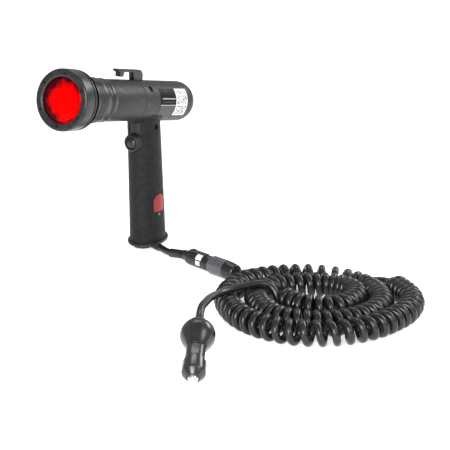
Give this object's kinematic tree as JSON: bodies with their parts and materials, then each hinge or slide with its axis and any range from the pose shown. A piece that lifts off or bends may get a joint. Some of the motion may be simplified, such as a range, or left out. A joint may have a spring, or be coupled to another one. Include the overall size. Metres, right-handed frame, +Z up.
{
  "type": "pistol-grip hand light with curly cord and vehicle plug",
  "caption": "Pistol-grip hand light with a round red lens, hanging hook, push button on the grip's front, in-line connector, curly cord and vehicle-socket plug.",
  "frame": {"origin": "on the underside of the round foot, below the middle of the grip, so the light stands on z = 0", "axes": "+Z up, lens towards -Y and 10.6 degrees up, +X towards the side that carries the labels and the cord's exit"},
  "size_m": [0.3893, 0.3914, 0.2217],
  "materials": {
    "housing_plastic": "moulded, finely pebbled, charcoal",
    "head_plastic": "moulded, satin, near black",
    "black_plastic": "moulded, satin black",
    "black_rubber": "smooth black rubber",
    "cord_jacket": "smooth, slightly glossy black cable jacket",
    "red_lens": "clear red",
    "clear_window": "clear",
    "bright_metal": "polished",
    "screw_steel": "zinc-plated steel",
    "black_screw": "black-oxide steel",
    "spring_steel": "bright spring wire",
    "cast_alloy": "as machined",
    "board": "green circuit board",
    "white_board": "white-faced metal-core board",
    "component": "moulded component bodies",
    "wire_insulation": "insulated wires",
    "label_black": "satin printed film",
    "label_grey": "satin printed film",
    "label_white": "satin printed film",
    "red_plastic": "moulded red",
    "lamp_green": "translucent",
    "pin_brass": "bright",
    "fuse_glass": "clear tube with metal caps",
    "tip_metal": "nickel plated"
  },
  "bodies": {
    "light": {"bezel_ring": "head_plastic", "bezel_screws": "black_screw", "red_lens": "red_lens", "clear_window": "clear_window", "lens_seals": "black_rubber", "front_gasket": "black_rubber", "clamp_ring": "head_plastic", "rear_gasket": "black_rubber", "head_shell": "head_plastic", "reflector": "bright_metal", "led_board": "white_board", "heat_sink": "cast_alloy", "tube_o_ring": "black_rubber", "barrel_tube": "housing_plastic", "driver_board": "board", "driver_parts": "component", "led_leads": "wire_insulation", "housing_left": "housing_plastic", "housing_right": "housing_plastic", "housing_screws": "screw_steel", "hook": "black_plastic", "hook_screws": "screw_steel", "label_plate": "label_black", "label_strip": "label_grey", "tag_plate": "label_white", "trigger_boot": "black_rubber", "trigger_nut": "screw_steel", "trigger_spring": "spring_steel", "trigger_switch": "component", "side_spring": "spring_steel", "side_switch": "component", "indicator_lens": "lamp_green", "base_cap": "housing_plastic", "base_screws": "screw_steel", "base_foot": "red_plastic", "foot_screw": "screw_steel", "cable_gland": "black_rubber", "wire_harness": "wire_insulation", "pigtail_cord": "cord_jacket", "pigtail_sleeve": "cord_jacket", "connector_socket": "black_plastic", "connector_seal": "black_rubber", "connector_plug": "black_plastic", "connector_pins": "pin_brass", "connector_backshell": "black_plastic", "lead_cord": "cord_jacket", "coil_cord": "cord_jacket", "tail_cord": "cord_jacket", "plug_grommet": "black_rubber", "plug_shell_upper": "black_plastic", "plug_shell_lower": "black_plastic", "plug_screw": "screw_steel", "plug_nose": "black_plastic", "plug_tip_spring": "spring_steel", "plug_fuse": "fuse_glass"},
    "trigger": {"trigger_button": "black_plastic"},
    "side_rocker": {"side_button": "red_plastic"},
    "tip": {"plug_tip": "tip_metal"},
    "contact_left": {"plug_contact_left": "tip_metal"},
    "contact_right": {"plug_contact_right": "tip_metal"}
  },
  "joints": [
    {"name": "trigger_press", "type": "slide", "parent": "light", "child": "trigger", "axis": [0, 1, 0], "range_m": [0, 0.0025], "stiffness_N_per_m": 900, "springref_m": -0.002, "deforming": ["trigger_spring"]},
    {"name": "side_press", "type": "slide", "parent": "light", "child": "side_rocker", "axis": [-1, 0, 0], "range_m": [0, 0.0012], "stiffness_N_per_m": 900, "springref_m": -0.001, "deforming": ["side_spring"]},
    {"name": "tip_press", "type": "slide", "parent": "light", "child": "tip", "axis": [-0.4255, 0.8351, 0.3486], "range_m": [0, 0.003], "stiffness_N_per_m": 1200, "springref_m": -0.003, "deforming": ["plug_tip_spring"]},
    {"name": "contact_left_press", "type": "slide", "parent": "light", "child": "contact_left", "axis": [-0.891, -0.454, 0], "range_m": [0, 0.0012], "stiffness_N_per_m": 1500, "springref_m": -0.0005},
    {"name": "contact_right_press", "type": "slide", "parent": "light", "child": "contact_right", "axis": [0.891, 0.454, 0], "range_m": [0, 0.0012], "stiffness_N_per_m": 1500, "springref_m": -0.0005}
  ]
}
